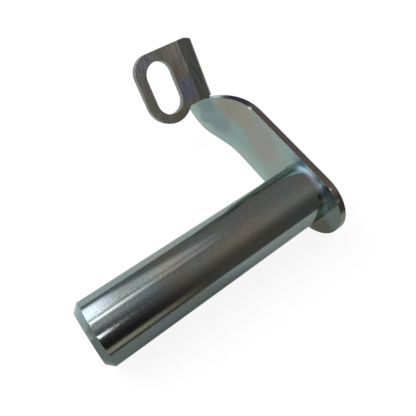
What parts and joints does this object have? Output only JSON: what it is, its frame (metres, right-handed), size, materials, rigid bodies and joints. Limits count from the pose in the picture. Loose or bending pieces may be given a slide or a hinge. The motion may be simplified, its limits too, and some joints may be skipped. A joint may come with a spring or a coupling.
{
  "type": "locking pin",
  "caption": "Round chamfered locking pin fixed square to a flat strap whose stepped far end folds up into a slotted ear for a bolt or padlock.",
  "frame": {"origin": "on the pin's axis, in the strap's front face, where the pin stands out of it", "axes": "+X along the pin to its chamfered free end, +Y along the strap to its rounded end, +Z across the strap; the part lies on the strap's lower edge and on the pin's free end"},
  "size_m": [0.1045, 0.113, 0.0423],
  "materials": {
    "pin_zinc": "zinc plated turned bar, satin",
    "strap_zinc": "zinc plated rolled plate, satin, with darker cut edges",
    "weld_zinc": "zinc plated weld bead, rippled"
  },
  "bodies": {
    "root": {"pin": "pin_zinc", "strap": "strap_zinc", "weld_bead": "weld_zinc"}
  },
  "joints": []
}
